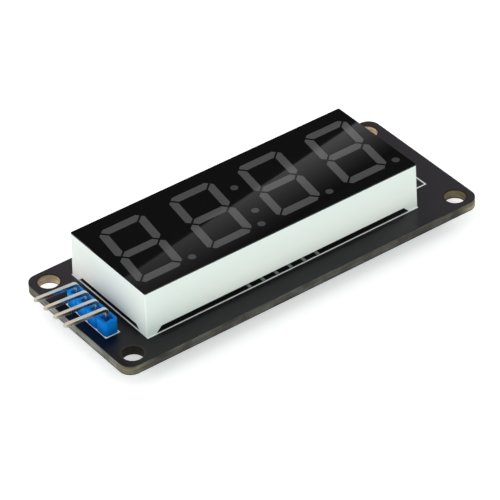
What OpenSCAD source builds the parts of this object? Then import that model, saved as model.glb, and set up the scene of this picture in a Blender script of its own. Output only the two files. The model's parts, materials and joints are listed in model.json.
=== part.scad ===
// Four-digit seven-segment display module: a clock display, its driver chip and a bent pin header
// on one small circuit board. Sizes are in millimetres.
// Origin: centre of the mounting-hole rectangle on the board's underside.
// +X runs along the board away from the header, +Y to the tops of the digits, +Z out of the face.

/* [Digits] */
// Number of digits side by side
digits = 4; // [3:1:6]
// Height of a digit
digit_h = 14.2; // [12:0.1:15]
// Width of a digit before it leans
digit_w = 8.2; // [6:0.1:9]
// Distance from one digit to the next
digit_pitch = 12.7; // [12.7:0.1:15]
// Lean of the digits to the right, in degrees
digit_lean = 8.5; // [0:0.5:10]
// Shift of the row of digits along X from the middle of the face
digit_shift = -0.2; // [-0.4:0.05:0]
// Shift of the row of digits along Y from the middle of the face
digit_rise = -0.15; // [-0.3:0.05:0.3]
// Stroke of a digit's level bars
segment_w = 1.5; // [1:0.05:1.8]
// Stroke of a digit's upright bars
upright_w = 1.4; // [1:0.05:1.8]
// Gap between two segments
segment_gap = 0.3; // [0.2:0.05:0.5]
// Cut across the outer corners of a digit
corner_cut = 1.1; // [0.6:0.05:1.4]
// Height of the slope on the outer corners at a digit's waist
waist_cut = 0.6; // [0.3:0.05:0.9]
// Gap between the upright bars at a digit's waist
waist_gap = 0.4; // [0.2:0.05:0.8]
// Diameter of the decimal points and colon dots
dot_d = 1.25; // [1:0.05:1.6]
// Distance of a decimal point's centre from the side of its digit
dot_offset = 1.5; // [1.2:0.05:1.7]
// Distance between the two dots of the colon
colon_spacing = 6.5; // [5:0.1:8]

/* [Display case] */
// Length of the digit cells that the two ends of the face trim off
face_trim = 0.5; // [0:0.05:0.6]
// Width of the face
face_w = 19; // [18:0.1:22]
// Height of the face above the board
face_h = 8; // [7:0.1:10]
// Thickness of the black film on the face
film_t = 0.2; // [0.1:0.05:0.4]
// Distance that each side slopes out from the face to the feet
case_draft = 0.15; // [0:0.05:0.3]
// Radius of the case's upright edges
case_edge_r = 0.2; // [0.1:0.05:0.6]
// Wall around the pocket behind the reflector
case_wall = 0.9; // [0.6:0.05:1.1]
// Height of the pocket's ceiling above the board
pocket_h = 3.4; // [3.2:0.1:4]
// Length of each corner foot along the wall
foot_l = 1.7; // [1.2:0.1:2.5]
// Height of the gap under the walls between the feet
foot_h = 1; // [0.6:0.05:1.2]
// Depth of the potting's surface inside the lower rim of the case
potting_sink = 0.3; // [0.1:0.05:0.5]
// Depth of the filled segments under the film's surface
segment_sink = 0.02; // [0.01:0.01:0.1]

/* [Light source] */
// Thickness of the carrier that holds the light chips
carrier_t = 0.8; // [0.6:0.1:1]
// Resin layer around and over the carrier
carrier_gap = 0.2; // [0.1:0.05:0.3]
// Side of a light chip
die_w = 0.3; // [0.2:0.05:0.5]
// Height of a light chip
die_h = 0.25; // [0.15:0.05:0.4]

/* [Display pins] */
// Pins in each of the two rows
pins_per_row = 6; // [4:1:8]
// Distance from one pin to the next
pin_pitch = 2.54; // [2:0.01:2.54]
// Distance of a pin row from the side of the face
pin_row_inset = 1.88; // [1.7:0.01:2.5]
// Diameter of a pin
pin_d = 0.5; // [0.4:0.05:0.6]
// Diameter of the board's hole for a pin
pin_hole_d = 0.9; // [0.8:0.05:1.1]
// Length of a pin below the board
pin_tail = 2.8; // [2.7:0.1:4]

/* [Circuit board] */
// Thickness of the board
board_t = 1.6; // [1:0.2:2.4]
// Board past the face at the header's end
header_margin = 6.6; // [6:0.1:10]
// Board past the face at the other end
far_margin = 9.1; // [6:0.1:14]
// Board past the face along the feet of the digits
front_margin = 4.3; // [1:0.1:10]
// Board past the face along the tops of the digits
back_margin = 3.7; // [1:0.1:10]
// Radius of the board's corners
board_corner_r = 2; // [1:0.25:4]
// Diameter of the mounting holes
mount_hole_d = 3.4; // [2.2:0.1:3.6]
// Distance of a mounting hole's centre from the end of the board
mount_inset_x = 2.85; // [2.5:0.05:3.5]
// Distance of a mounting hole's centre from the long edge of the board
mount_inset_y = 2.65; // [2.5:0.05:3.5]

/* [Header] */
// Number of header pins
header_pins = 4; // [3:1:6]
// Distance from one header pin to the next
header_pitch = 2.54; // [2:0.01:2.54]
// Distance of the header's pin row from the end of the board
header_inset = 3; // [2:0.05:4]
// Position of the header's middle along Y
header_y = -0.45; // [-3:0.05:3]
// Width of the plastic block across the pins
block_w = 2.4; // [2:0.1:3]
// Height of the plastic block
block_h = 2.5; // [2:0.1:3.5]
// Cut between neighbouring cells of the block
block_notch = 0.4; // [0.2:0.05:0.6]
// Side of the square well around each pin in the block's top
well_w = 1.45; // [1:0.05:1.6]
// Depth of that well
well_h = 0.5; // [0.3:0.1:1.2]
// Side of a header pin
header_pin_w = 0.64; // [0.5:0.02:0.7]
// Height over the block at which the limb's centre line meets the upright's
limb_rise = 1.55; // [1.3:0.05:3]
// Rise of the limb towards its tip, in degrees
limb_lift = 4; // [0:0.5:8]
// Reach of the bent limb from the pin's upright centre line
limb_reach = 7.5; // [6:0.1:12]
// Radius of the bend along the pin's centre line
bend_r = 0.6; // [0.5:0.05:1.2]
// Length of the cut on the pin's tips
tip_cut = 0.5; // [0.2:0.05:0.8]
// Length of a header pin below the board
header_tail = 1.5; // [1.2:0.1:2.5]
// Diameter of the board's hole for a header pin
header_hole_d = 1; // [1:0.05:1.2]

/* [Solder] */
// Diameter of a soldered pad
pad_d = 1.8; // [1.4:0.1:2]
// Height of a solder fillet
fillet_h = 1.1; // [0.6:0.1:1.1]
// Solder around the pin at the fillet's tip
fillet_tip = 0.1; // [0.05:0.01:0.2]

/* [Driver chip] */
// Leads on each side
leads_per_side = 10; // [8:1:12]
// Distance from one lead to the next
lead_pitch = 1.27; // [1:0.01:1.27]
// Body past the outer lead cells, both ends together
chip_end = 0.1; // [0.1:0.1:1]
// Width of the body
chip_w = 7.5; // [5:0.1:8]
// Thickness of the body
chip_h = 2.3; // [1.5:0.1:2.4]
// Slope of the body's sides
chip_draft = 0.15; // [0.05:0.05:0.3]
// Gap between the body and the board
chip_standoff = 0.1; // [0.05:0.05:0.2]
// Width of a lead
lead_w = 0.4; // [0.3:0.02:0.5]
// Thickness of a lead
lead_t = 0.25; // [0.15:0.01:0.3]
// Distance that the leads stand out from the body
lead_reach = 1.4; // [1:0.05:2]
// Length of a lead's foot
lead_foot = 0.75; // [0.4:0.05:0.8]
// Depth of a lead's root inside the body
lead_root = 0.5; // [0.3:0.05:1]
// Diameter of the mark at the first lead
mark_d = 1; // [0.6:0.1:1.4]
// Depth of that mark
mark_h = 0.1; // [0.05:0.05:0.3]
// Space between the display's pins and the chip
chip_gap = 3.5; // [2:0.1:4]

/* [Resistors and capacitors] */
// Length of a small chip part
small_l = 1.6; // [1:0.1:2]
// Width of a small chip part
small_w = 0.8; // [0.5:0.05:1.2]
// Thickness of a resistor
resistor_h = 0.45; // [0.3:0.05:0.6]
// Thickness of a small capacitor
capacitor_h = 0.8; // [0.5:0.05:1]
// Length of the storage capacitor
storage_l = 3.2; // [2:0.1:3.5]
// Width of the storage capacitor
storage_w = 1.6; // [1.2:0.1:1.8]
// Thickness of the storage capacitor
storage_h = 1.6; // [0.8:0.1:1.8]
// Length of the metal on each end of a chip part
terminal_l = 0.35; // [0.2:0.05:0.45]
// Distance from one row of chip parts to the next
chip_part_pitch = 2.6; // [2:0.1:3]
// Distance of the first row of chip parts from the header's pin row
chip_part_x = 5; // [4:0.1:6]

/* [Hidden] */
$fn = 64;
corner_fn = 32; // sides of the rounded corners inside a hull
eps = 0.01; // overrun of a cut past the face that it opens

face_l = digits * digit_pitch - face_trim;
board_l = header_margin + face_l + far_margin;
board_w = front_margin + face_w + back_margin;
display_at = [(header_margin - far_margin) / 2, (front_margin - back_margin) / 2, board_t];
header_at = [-board_l / 2 + header_inset, header_y, board_t];

half_w = digit_w / 2;
half_h = digit_h / 2;
lean_run = tan(digit_lean);
gap_shift = segment_gap / sqrt(2);
skew = segment_w - upright_w; // shift of the mitres by the two strokes

case_h = face_h - film_t;
carrier_top = pocket_h - carrier_gap;
carrier_z = carrier_top - carrier_t;
potting_z = foot_h + potting_sink;

pin_count = 2 * pins_per_row;
pin_rows_half = face_w / 2 - pin_row_inset;
pin_row_half_l = (pins_per_row - 1) * pin_pitch / 2;

limb_z = block_h + limb_rise;

chip_l = leads_per_side * lead_pitch + chip_end;
chip_at = [display_at[0] + pin_row_half_l + chip_gap + chip_l / 2, display_at[1]];
lead_span = chip_w + 2 * lead_reach;
lead_exit = chip_standoff + chip_h / 2;

resistor = [small_l, small_w, resistor_h];
capacitor = [small_l, small_w, capacitor_h];
storage = [storage_l, storage_w, storage_h];
row_1 = header_at[0] + chip_part_x;
row_2 = row_1 + storage_l / 2 + small_l / 2 + chip_part_pitch / 2;
column = header_at[1] + chip_part_pitch / 2;
// Each chip part on the underside: name, place of its middle, size
CHIP_PARTS = [
    ["pull_up_resistor_1", [row_1, column + chip_part_pitch], resistor],
    ["pull_up_resistor_2", [row_1, column], resistor],
    ["filter_capacitor_1", [row_2, column + chip_part_pitch], capacitor],
    ["filter_capacitor_2", [row_2, column], capacitor],
    ["storage_capacitor", [row_1, column - 2 * chip_part_pitch], storage],
    ["supply_capacitor", [chip_at[0], chip_at[1] + lead_span / 2 + chip_part_pitch / 2], capacitor]
];

// Points and outlines

// A point of a digit after the digit leans
function lean(p) = [p[0] + p[1] * lean_run, p[1]];
function flip_x(points) = [for (p = points) [-p[0], p[1]]];
function flip_y(points) = [for (p = points) [p[0], -p[1]]];

// The top bar of a digit, cut to a mitre at both ends
function top_bar() = let(
    x = half_w, y = half_h, inner = x - upright_w - gap_shift,
    tip_x = x - (corner_cut + gap_shift - skew) / 2, tip_y = y - (corner_cut - gap_shift + skew) / 2
) [
    [-x + corner_cut, y], [x - corner_cut, y], [tip_x, tip_y],
    [inner, y - segment_w], [-inner, y - segment_w], [-tip_x, tip_y]
];

// The upper left bar of a digit, from the mitre at the top to the waist
function side_bar() = let(
    x = -half_w, y = half_h, inner = x + upright_w, waist = waist_gap / 2, knee = segment_w / 2 + gap_shift
) [
    [x, y - corner_cut],
    [x + (corner_cut - gap_shift - skew) / 2, y - (corner_cut + gap_shift + skew) / 2],
    [inner, y - segment_w - gap_shift], [inner, knee],
    [inner - knee + waist, waist], [x, waist + waist_cut]
];

// The middle bar of a digit, pointed at both ends
function middle_bar() = let(
    y = segment_w / 2, shoulder = half_w - upright_w - gap_shift, tip = shoulder + y
) [[tip, 0], [shoulder, y], [-shoulder, y], [-tip, 0], [-shoulder, -y], [shoulder, -y]];

// The seven bars of a digit
function bars() = [
    top_bar(), side_bar(), flip_x(side_bar()), middle_bar(),
    flip_y(side_bar()), flip_x(flip_y(side_bar())), flip_y(top_bar())
];

// The middle of each bar, in the same order
function bar_middles() = let(x = half_w - upright_w / 2, y = half_h - segment_w / 2)
    [[0, y], [-x, y / 2], [x, y / 2], [0, 0], [-x, -y / 2], [x, -y / 2], [0, -y]];

function digit_at(i) = [digit_shift + (i - (digits - 1) / 2) * digit_pitch, digit_rise];

// The decimal points and the colon
function dots() = concat(
    [for (i = [0:digits - 1]) lean([half_w + dot_offset, -half_h + dot_d / 2]) + digit_at(i)],
    [for (s = [-1, 1]) lean([0, s * colon_spacing / 2]) + [digit_shift, digit_rise]]
);

// The place of every light chip
function light_points() = concat(
    [for (i = [0:digits - 1], p = bar_middles()) lean(p) + digit_at(i)],
    dots()
);

// Display pins are counted along the front row and back along the rear row
function display_pin_at(n) = n <= pins_per_row
    ? [(n - 1) * pin_pitch - pin_row_half_l, -pin_rows_half]
    : [pin_row_half_l - (n - pins_per_row - 1) * pin_pitch, pin_rows_half];

function header_pin_y(n) = (n - (header_pins + 1) / 2) * header_pitch;

function mount_holes() = [for (sx = [-1, 1], sy = [-1, 1])
    [sx * (board_l / 2 - mount_inset_x), sy * (board_w / 2 - mount_inset_y)]];

// Shared shapes

module on_display() { translate(display_at) children(); }
module on_header() { translate(header_at) children(); }

// A flat plate with round corners, standing on z = 0
module plate(l, w, h, r) {
    linear_extrude(h) {
        square([l - 2 * r, w], center = true);
        square([l, w - 2 * r], center = true);
        for (sx = [-1, 1], sy = [-1, 1])
            translate([sx * (l / 2 - r), sy * (w / 2 - r)]) circle(r);
    }
}

module block(l, w, h) { translate([-l / 2, -w / 2, 0]) cube([l, w, h]); }

// The seven-segment windows of the whole face between two heights
module windows(z0, z1) {
    translate([0, 0, z0]) linear_extrude(z1 - z0) {
        for (i = [0:digits - 1], bar = bars())
            polygon([for (p = bar) lean(p) + digit_at(i)]);
        for (p = dots()) translate(p) circle(d = dot_d);
    }
}

module display_pin_bar(n) {
    translate([each display_pin_at(n), -board_t - pin_tail])
        cylinder(d = pin_d, h = board_t + pin_tail + carrier_top);
}

module carrier_blank() {
    translate([0, 0, carrier_z])
        block(face_l - 2 * (case_wall + carrier_gap), face_w - 2 * (case_wall + carrier_gap), carrier_t);
}

module light_chips() {
    for (p = light_points()) translate([each p, carrier_top]) block(die_w, die_w, die_h);
}

// A square bar along +Z from z = 0 with its far end cut to a blunt point
module pointed_bar(w, length) {
    module side() {
        rotate([90, 0, 0]) linear_extrude(w, center = true) polygon([
            [-w / 2, 0], [w / 2, 0], [w / 2, length - tip_cut],
            [w / 4, length], [-w / 4, length], [-w / 2, length - tip_cut]
        ]);
    }
    intersection() {
        side();
        rotate([0, 0, 90]) side();
    }
}

// A bent header pin: tail, upright, bend and the limb that the plug takes
module header_pin_bar(n) {
    w = header_pin_w;
    turn = 90 - limb_lift;
    corner_z = limb_z - bend_r * tan(turn / 2);
    heel = bend_r * (1 - cos(turn));
    limb_l = (limb_reach - heel - w / 4 * sin(limb_lift)) / cos(limb_lift);
    translate([0, header_pin_y(n), 0]) {
        mirror([0, 0, 1]) pointed_bar(w, board_t + header_tail);
        translate([-w / 2, -w / 2, 0]) cube([w, w, corner_z]);
        translate([-bend_r, w / 2, corner_z]) rotate([90, 0, 0])
            rotate_extrude(angle = turn) translate([bend_r - w / 2, 0]) square(w);
        translate([-heel, 0, corner_z + bend_r * sin(turn)]) rotate([0, -turn, 0]) pointed_bar(w, limb_l);
    }
}

// Solder that fills a plated hole and climbs the pin under the board
module solder_joint(hole_d, pin_r) {
    tip_r = pin_r + fillet_tip;
    rim_r = pad_d / 2;
    rotate_extrude() polygon(concat(
        [for (a = [0:15:90]) [rim_r - (rim_r - tip_r) * cos(a), -fillet_h * (1 - sin(a))]],
        [[hole_d / 2, 0], [hole_d / 2, board_t], [0, board_t], [0, -fillet_h]]
    ));
}

// Circuit board

module circuit_board() {
    color([0.10, 0.09, 0.10]) difference() {
        plate(board_l, board_w, board_t, board_corner_r);
        for (p = mount_holes()) translate([each p, -eps])
            cylinder(d = mount_hole_d, h = board_t + 2 * eps);
        for (n = [1:pin_count])
            translate([display_at[0], display_at[1], -eps] + [each display_pin_at(n), 0])
                cylinder(d = pin_hole_d, h = board_t + 2 * eps);
        for (n = [1:header_pins]) translate([header_at[0], header_at[1] + header_pin_y(n), -eps])
            cylinder(d = header_hole_d, h = board_t + 2 * eps);
    }
}

// Display

// The outside of the case: sides that slope out to the feet, with round upright edges
module case_blank() {
    module rim(out, z) {
        for (sx = [-1, 1], sy = [-1, 1])
            translate([sx * (face_l / 2 + out - case_edge_r), sy * (face_w / 2 + out - case_edge_r), z])
                cylinder(r = case_edge_r, h = eps, $fn = corner_fn);
    }
    hull() {
        rim(case_draft, 0);
        rim(0, case_h - eps);
    }
}

// The gap under two opposite walls, with a slope up from each foot
module foot_gap(l, w) {
    half = l / 2 + case_draft - foot_l;
    rotate([90, 0, 0]) linear_extrude(w + 4 * case_draft, center = true) polygon([
        [-half - eps, -eps], [half + eps, -eps], [half - foot_h, foot_h], [-half + foot_h, foot_h]
    ]);
}

module display_case() {
    color([0.92, 0.94, 0.92]) on_display() difference() {
        case_blank();
        translate([0, 0, -eps]) block(face_l - 2 * case_wall, face_w - 2 * case_wall, pocket_h + eps);
        foot_gap(face_l, face_w);
        rotate([0, 0, 90]) foot_gap(face_w, face_l);
        windows(pocket_h - eps, case_h + eps);
    }
}

module face_film() {
    color([0.03, 0.03, 0.03]) on_display() translate([0, 0, case_h]) difference() {
        plate(face_l, face_w, film_t, case_edge_r);
        windows(-eps, film_t + eps);
    }
}

// One casting: the filled segments, the layer over the carrier and the slab behind it
module potting_resin() {
    color([0.42, 0.42, 0.41]) on_display() difference() {
        union() {
            translate([0, 0, potting_z])
                block(face_l - 2 * case_wall, face_w - 2 * case_wall, pocket_h - potting_z);
            windows(pocket_h, face_h - segment_sink);
        }
        carrier_blank();
        light_chips();
        for (n = [1:pin_count]) display_pin_bar(n);
    }
}

module led_carrier() {
    color([0.75, 0.78, 0.70]) on_display() difference() {
        carrier_blank();
        for (n = [1:pin_count]) display_pin_bar(n);
    }
}

module led_chips() { color([0.85, 0.70, 0.30]) on_display() light_chips(); }

module display_pin(n) { color([0.78, 0.78, 0.76]) on_display() display_pin_bar(n); }

module display_solder_joints() {
    color([0.70, 0.71, 0.72]) for (n = [1:pin_count]) difference() {
        translate([display_at[0], display_at[1], 0] + [each display_pin_at(n), 0])
            solder_joint(pin_hole_d, pin_d / 2);
        on_display() display_pin_bar(n);
    }
}

// Header

// One cell of the block, with its four corners cut back
module block_cell() {
    x = block_w / 2;
    y = header_pitch / 2;
    cut = block_notch;
    linear_extrude(block_h) polygon([
        [x, y - cut], [x - cut, y], [-x + cut, y], [-x, y - cut],
        [-x, -y + cut], [-x + cut, -y], [x - cut, -y], [x, -y + cut]
    ]);
}

module header_block() {
    color([0.05, 0.42, 0.80]) on_header() difference() {
        for (n = [1:header_pins]) translate([0, header_pin_y(n), 0]) block_cell();
        for (n = [1:header_pins]) translate([0, header_pin_y(n), 0]) {
            translate([0, 0, block_h - well_h]) block(well_w, well_w, well_h + eps);
            translate([0, 0, -eps]) block(header_pin_w, header_pin_w, block_h + 2 * eps);
        }
    }
}

module header_pin(n) { color([0.80, 0.76, 0.68]) on_header() header_pin_bar(n); }

module header_solder_joints() {
    color([0.70, 0.71, 0.72]) for (n = [1:header_pins]) difference() {
        translate([header_at[0], header_at[1] + header_pin_y(n), 0])
            solder_joint(header_hole_d, header_pin_w / sqrt(2));
        on_header() header_pin_bar(n);
    }
}

// Driver chip and its small parts, hanging under the board

module under_board(at) { translate([each at, 0]) mirror([0, 0, 1]) children(); }

// One gull-wing lead: from its root in the body, out and down to the foot on the board
module lead_bar() {
    root = chip_w / 2 - lead_root;
    tip = lead_span / 2;
    heel = tip - lead_foot;
    knee = chip_w / 2 + (lead_reach - lead_foot) / 2;
    low = lead_exit - lead_t / 2;
    high = lead_exit + lead_t / 2;
    rotate([90, 0, 90]) linear_extrude(lead_w, center = true) polygon([
        [root, low], [knee, low], [heel - lead_t, 0], [tip, 0],
        [tip, lead_t], [heel, lead_t], [knee + lead_t, high], [root, high]
    ]);
}

module lead_rows() {
    for (i = [0:leads_per_side - 1], turn = [0, 180])
        rotate([0, 0, turn]) translate([(i - (leads_per_side - 1) / 2) * lead_pitch, 0, 0]) lead_bar();
}

module driver_chip() {
    module slice(inset, z) {
        translate([0, 0, z]) block(chip_l - 2 * inset, chip_w - 2 * inset, eps);
    }
    color([0.08, 0.08, 0.085]) under_board(chip_at) difference() {
        hull() {
            slice(chip_draft, chip_standoff);
            slice(0, chip_standoff + chip_h / 2 - eps / 2);
            slice(chip_draft, chip_standoff + chip_h - eps);
        }
        translate([-chip_l / 2 + 2 * mark_d, -chip_w / 2 + 2 * mark_d, chip_standoff + chip_h - mark_h])
            cylinder(d = mark_d, h = mark_h + eps);
        lead_rows();
    }
}

module driver_leads() { color([0.72, 0.73, 0.74]) under_board(chip_at) lead_rows(); }

module chip_part(p) {
    size = p[2];
    tint = size[2] == resistor_h ? [0.09, 0.09, 0.10] : [0.62, 0.50, 0.38];
    color(tint) under_board(p[1]) block(size[0] - 2 * terminal_l, size[1], size[2]);
}

module chip_part_terminals(p) {
    size = p[2];
    color([0.75, 0.75, 0.75]) under_board(p[1]) for (s = [-1, 1])
        translate([s * (size[0] - terminal_l) / 2, 0, 0]) block(terminal_l, size[1], size[2]);
}

circuit_board();
display_case();
face_film();
potting_resin();
led_carrier();
led_chips();
for (n = [1:pin_count])
    display_pin(n);
display_solder_joints();
header_block();
for (n = [1:header_pins])
    header_pin(n);
header_solder_joints();
driver_chip();
driver_leads();
for (p = CHIP_PARTS) {
    chip_part(p);
    chip_part_terminals(p);
}
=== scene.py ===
"""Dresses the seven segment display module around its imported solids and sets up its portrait.

Every size is in metres, in the part's own frame: the origin is the centre of the mounting holes on the
board's underside, +X runs away from the header, +Y to the tops of the digits, +Z out of the face.
"""

import json
import logging
import math
from dataclasses import dataclass, field
from enum import Enum
from typing import Any, Callable, Iterable, Sequence

import bmesh
import bpy
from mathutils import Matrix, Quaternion, Vector

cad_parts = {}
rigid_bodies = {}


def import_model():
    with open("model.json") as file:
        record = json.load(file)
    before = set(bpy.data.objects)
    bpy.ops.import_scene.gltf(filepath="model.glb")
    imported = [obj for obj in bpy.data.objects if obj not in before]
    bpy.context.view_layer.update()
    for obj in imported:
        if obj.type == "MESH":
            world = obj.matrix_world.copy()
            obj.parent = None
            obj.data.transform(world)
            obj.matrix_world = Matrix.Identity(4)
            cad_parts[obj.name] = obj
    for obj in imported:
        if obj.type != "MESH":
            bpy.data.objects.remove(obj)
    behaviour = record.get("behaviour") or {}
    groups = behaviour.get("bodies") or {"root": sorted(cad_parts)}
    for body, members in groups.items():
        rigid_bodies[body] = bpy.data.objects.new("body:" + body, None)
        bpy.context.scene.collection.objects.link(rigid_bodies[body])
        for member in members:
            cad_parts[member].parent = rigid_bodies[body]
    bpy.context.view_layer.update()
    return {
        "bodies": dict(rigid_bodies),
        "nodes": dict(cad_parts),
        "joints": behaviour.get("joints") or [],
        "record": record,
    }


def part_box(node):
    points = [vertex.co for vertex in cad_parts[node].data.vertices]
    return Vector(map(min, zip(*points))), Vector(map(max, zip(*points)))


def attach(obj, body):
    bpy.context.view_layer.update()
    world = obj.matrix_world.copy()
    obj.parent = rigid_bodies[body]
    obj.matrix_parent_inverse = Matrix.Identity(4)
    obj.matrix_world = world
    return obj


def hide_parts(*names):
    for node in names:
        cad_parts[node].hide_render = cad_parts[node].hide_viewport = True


LOG = logging.getLogger("display_module")
MM = 0.001
# Corners closer than this are one corner
WELD = 0.0002 * MM
# Angle up to which faces are one flat, and from which an edge is sharp
LEVEL = math.radians(0.6)
SHARP = math.radians(32.0)
# Likeness of two faces' directions that shade as one flat, and that shade into each other
FLAT = math.cos(math.radians(0.8))
SOFT = math.cos(math.radians(50.0))
# Facets across a rounded edge
FACETS = 2
# How far a layer's foot sinks into the board
SINK = 0.01 * MM
# Least cosine of half a bend that the mitre of a copper line is stretched by
MITRE = 0.3
# Scale of a finish's broad mottle and of its fine relief against its grain
BROAD, FINE = 0.25, 4.0
# Share by which the mottle moves a finish's gloss
GLOSS_SWING = 0.15
# The band of a noise that is drawn out to full contrast
CONTRAST = (0.3, 0.7)
# Numbers of the Mix node's sockets for two colours and for their mix
MIX_LOW, MIX_HIGH, MIX_RESULT = 6, 7, 2

Point = tuple[float, float]
Colour = tuple[float, float, float]
Socket = bpy.types.NodeSocket
Sockets = bpy.types.NodeOutputs

BLACK: Colour = (0.0, 0.0, 0.0)
WHITE: Colour = (1.0, 1.0, 1.0)


class Slot(Enum):
    """The record's material slots of the pieces that are made here."""

    BOARD = "board_laminate"
    CASE = "case_plastic"
    HEADER = "header_plastic"
    CHIP = "chip_plastic"
    LEAD = "tinned_lead"
    PIN = "tinned_pin"
    HEADER_PIN = "header_pin"
    RESISTOR = "resistor_body"
    CAPACITOR = "capacitor_body"
    TERMINAL = "tinned_terminal"


class BoardSide(Enum):
    """The two sides of the circuit board, as the direction that a layer on them grows in."""

    TOP = 1
    UNDER = -1


class ShaderSheet:
    """The node tree of a material or of the world, with short calls for the nodes that they share."""

    def __init__(self, owner: bpy.types.Material | bpy.types.World, main: str = "Principled BSDF") -> None:
        """Opens the sheet of a material or of the world.

        Args:
            owner: The material or the world.
            main: The name of its main shader.
        """
        owner.use_nodes = True
        self.owner = owner
        self.tree = owner.node_tree
        self.shader = self.tree.nodes[main]

    def node(self, kind: str, **settings: Any) -> bpy.types.Node:
        """Adds a node.

        Args:
            kind: The node's type without its ShaderNode prefix.
            **settings: Properties of the node to set.

        Returns:
            The new node.
        """
        made = self.tree.nodes.new("ShaderNode" + kind)
        for key, value in settings.items():
            setattr(made, key, value)
        return made

    def feed(self, socket: Socket, value: Any) -> None:
        """Links a socket to another one, or sets it to a plain value.

        Args:
            socket: The socket to feed.
            value: A socket or a plain value.
        """
        if isinstance(value, Socket):
            self.tree.links.new(value, socket)
        else:
            socket.default_value = value

    def set(self, name: str, value: Any) -> None:
        """Feeds one of the main shader's sockets.

        Args:
            name: The socket's name.
            value: A socket, a plain value, or a colour of three numbers.
        """
        if isinstance(value, tuple) and len(value) == 3:
            value = (*value, 1.0)
        self.feed(self.shader.inputs[name], value)

    def wire(self, made: bpy.types.Node, *values: Any) -> Socket:
        """Feeds a node's sockets in their order.

        Args:
            made: The node.
            *values: Sockets or plain values.

        Returns:
            The node's first output.
        """
        for socket, value in zip(made.inputs, values):
            self.feed(socket, value)
        return made.outputs[0]

    def place(self) -> Socket:
        """Gives the place on the object, in metres."""
        return self.node("TexCoord").outputs["Object"]

    def parts(self, vector: Socket) -> Sockets:
        """Splits a vector into its X, Y and Z sockets."""
        return self.wire(self.node("SeparateXYZ"), vector).node.outputs

    def axes(self) -> Sockets:
        """Gives the X, Y and Z sockets of the place on the object."""
        return self.parts(self.place())

    def facing(self) -> Sockets:
        """Gives the X, Y and Z sockets of the surface's direction."""
        return self.parts(self.node("NewGeometry").outputs["Normal"])

    def math(self, operation: str, *values: Any) -> Socket:
        """Adds one step of arithmetic on sockets or numbers, given in the node's order."""
        return self.wire(self.node("Math", operation=operation), *values)

    def distance(self, place: Sequence[Socket], at: Point) -> Socket:
        """Gives the distance of a place, given by its X and Y sockets, from an upright axis."""
        squares = [self.math("POWER", self.math("SUBTRACT", p, a), 2.0) for p, a in zip(place, at)]
        return self.math("SQRT", self.math("ADD", *squares))

    def step(self, value: Any, low: float, high: float, start: float = 0.0, end: float = 1.0) -> Socket:
        """Gives a smooth step from its start at low to its end at high."""
        made = self.node("MapRange", interpolation_type="SMOOTHSTEP")
        return self.wire(made, value, low, high, start, end)

    def both(self, values: Sequence[Socket], spans: Sequence[Point], operation: str = "MULTIPLY") -> Socket:
        """Joins the smooth steps of two values in one step of arithmetic."""
        return self.math(operation, *(self.step(value, *span) for value, span in zip(values, spans)))

    def spread(self, factor: Any, low: float, high: float) -> Socket:
        """Maps a factor from 0 to 1 onto a range."""
        return self.wire(self.node("MapRange"), factor, 0.0, 1.0, low, high)

    def shade(self, value: Socket) -> Socket:
        """Turns a number into a grey."""
        return self.wire(self.node("CombineColor"), value, value, value)

    def noise(self, scale: float, detail: float = 3.0, stretch: Colour = (1.0, 1.0, 1.0)) -> Socket:
        """Adds a noise texture on the object's own place.

        Args:
            scale: Grains to the metre.
            detail: Octaves of finer grain.
            stretch: Scale of the place along X, Y and Z before the noise reads it.

        Returns:
            The socket with the noise's value.
        """
        turned = self.node("Mapping")
        self.feed(turned.inputs["Vector"], self.place())
        turned.inputs["Scale"].default_value = stretch
        made = self.node("TexNoise")
        self.feed(made.inputs["Vector"], turned.outputs[0])
        made.inputs["Scale"].default_value = scale
        made.inputs["Detail"].default_value = detail
        return made.outputs["Fac"]

    def blend(self, factor: Any, low: Any, high: Any, kind: str = "MIX") -> Socket:
        """Mixes two colours.

        Args:
            factor: The share of the second colour.
            low: The first colour, as a socket or three numbers.
            high: The second colour, as a socket or three numbers.
            kind: The Mix node's blend type.

        Returns:
            The mixed colour's socket.
        """
        made = self.node("Mix", data_type="RGBA", blend_type=kind)
        self.feed(made.inputs["Factor"], factor)
        for number, value in ((MIX_LOW, low), (MIX_HIGH, high)):
            self.feed(made.inputs[number], value if isinstance(value, Socket) else (*value, 1.0))
        return made.outputs[MIX_RESULT]

    def relief(self, height: Socket, depth: float, strength: float = 1.0) -> None:
        """Puts a fine relief on the surface.

        Args:
            height: The socket with heights from 0 to 1.
            depth: The height of a full step, in metres.
            strength: The share of the relief that shows.
        """
        made = self.node("Bump")
        made.inputs["Strength"].default_value = strength
        made.inputs["Distance"].default_value = depth
        self.feed(made.inputs["Height"], height)
        self.set("Normal", made.outputs["Normal"])

    def glow(self, tint: Any, strength: Any) -> None:
        """Lets the surface glow in a tint."""
        self.set("Emission Color", tint)
        self.set("Emission Strength", strength)


@dataclass(frozen=True)
class Tinge:
    """Another tint that takes over where the place along each named axis, or sum of axes, passes a span."""

    tint: Colour
    spans: dict[str, Point]

    def over(self, sheet: ShaderSheet, base: Socket) -> Socket:
        """Lays the tint over a colour.

        Args:
            sheet: The sheet of the material.
            base: The colour's socket.

        Returns:
            The new colour's socket.
        """
        place = sheet.axes()
        share: Socket | float = 1.0
        for axes, span in self.spans.items():
            along = place[axes] if len(axes) == 1 else sheet.math("ADD", *(place[axis] for axis in axes))
            share = sheet.math("MULTIPLY", share, sheet.step(along, *span))
        return sheet.blend(share, base, self.tint)


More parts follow.
